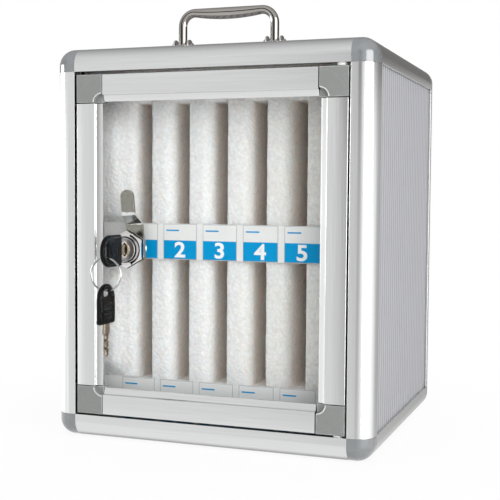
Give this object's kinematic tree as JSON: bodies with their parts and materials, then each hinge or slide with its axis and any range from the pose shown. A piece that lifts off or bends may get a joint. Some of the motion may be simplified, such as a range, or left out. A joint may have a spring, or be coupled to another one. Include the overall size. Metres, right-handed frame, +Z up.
{
  "type": "phone storage cabinet",
  "caption": "Portable aluminium-framed cabinet with numbered foam slots for phones, a locking window door on a side hinge, keys on a ring and a folding carry handle",
  "frame": {"origin": "bottom centre of the box around the whole object, keys included", "axes": "+X to the viewer's right when facing the door, +Y to the rear, +Z up"},
  "size_m": [0.215, 0.23, 0.2826],
  "materials": {
    "aluminium_frame": "silver anodised",
    "corner_plastic": "satin grey",
    "panel_sheet": "satin violet grey",
    "foam": "closed-cell foam",
    "card": "satin white",
    "nylon": "satin white",
    "steel_pin": "bright steel",
    "clear_pane": "clear acrylic",
    "chrome": "polished chrome",
    "zinc_plate": "zinc plated",
    "key_plastic": "black satin",
    "key_metal": "nickel plated"
  },
  "bodies": {
    "case": {"front_left_post": "aluminium_frame", "front_right_post": "aluminium_frame", "rear_left_post": "aluminium_frame", "rear_right_post": "aluminium_frame", "top_front_rail": "aluminium_frame", "bottom_front_rail": "aluminium_frame", "top_rear_rail": "aluminium_frame", "bottom_rear_rail": "aluminium_frame", "top_left_rail": "aluminium_frame", "top_right_rail": "aluminium_frame", "bottom_left_rail": "aluminium_frame", "bottom_right_rail": "aluminium_frame", "corner_top_front_left": "corner_plastic", "corner_top_front_right": "corner_plastic", "corner_top_rear_left": "corner_plastic", "corner_top_rear_right": "corner_plastic", "corner_bottom_front_left": "corner_plastic", "corner_bottom_front_right": "corner_plastic", "corner_bottom_rear_left": "corner_plastic", "corner_bottom_rear_right": "corner_plastic", "left_panel": "panel_sheet", "right_panel": "panel_sheet", "rear_panel": "panel_sheet", "top_panel": "panel_sheet", "bottom_panel": "panel_sheet", "foam_base": "foam", "foam_middle": "foam", "foam_top": "foam", "foam_back": "foam", "foam_dividers_lower": "foam", "foam_dividers_upper": "foam", "label_strip_upper": "card", "label_strip_lower": "card", "hinge_bushings": "nylon", "handle_bracket_left": "chrome", "handle_bracket_right": "chrome", "handle_rivets": "chrome", "handle_pins": "chrome"},
    "door": {"door_left_stile": "aluminium_frame", "door_right_stile": "aluminium_frame", "door_top_rail": "aluminium_frame", "door_bottom_rail": "aluminium_frame", "door_corner_top_left": "corner_plastic", "door_corner_top_right": "corner_plastic", "door_corner_bottom_left": "corner_plastic", "door_corner_bottom_right": "corner_plastic", "window_pane": "clear_pane", "hinge_pins": "steel_pin", "lock_body": "chrome", "lock_nut": "zinc_plate"},
    "lock_plug": {"lock_plug": "chrome", "lock_cam": "zinc_plate", "cam_screw": "zinc_plate"},
    "key": {"key_grip": "key_plastic", "key_blade": "key_metal"},
    "key_ring": {"key_ring": "chrome"},
    "spare_key": {"spare_key_grip": "key_plastic", "spare_key_blade": "key_metal"},
    "handle": {"carry_handle": "chrome"}
  },
  "joints": [
    {"name": "door_swing", "type": "hinge", "parent": "case", "child": "door", "pos_m": [0.086, -0.07618, 0.1275], "axis": [0, 0, 1], "range_deg": [0, 110]},
    {"name": "lock_turn", "type": "hinge", "parent": "door", "child": "lock_plug", "pos_m": [-0.056, -0.07197, 0.1251], "axis": [0, -1, 0], "range_deg": [0, 90]},
    {"name": "key_pull", "type": "slide", "parent": "lock_plug", "child": "key", "axis": [0, -1, 0], "range_m": [0, 0.03]},
    {"name": "ring_hang", "type": "hinge", "parent": "key", "child": "key_ring", "pos_m": [-0.056, -0.10502, 0.11735], "axis": [0, -1, 0], "range_deg": [-90, 0]},
    {"name": "spare_key_swing", "type": "hinge", "parent": "key_ring", "child": "spare_key", "pos_m": [-0.056, -0.10502, 0.1008], "axis": [1, 0, 0], "range_deg": [-60, 40]},
    {"name": "handle_fold", "type": "hinge", "parent": "case", "child": "handle", "pos_m": [0, -0.04197, 0.2582], "axis": [1, 0, 0], "range_deg": [-85, 85]}
  ],
  "couplings": [
    {"joint": "ring_hang", "follows": "lock_turn", "ratio": -1}
  ]
}
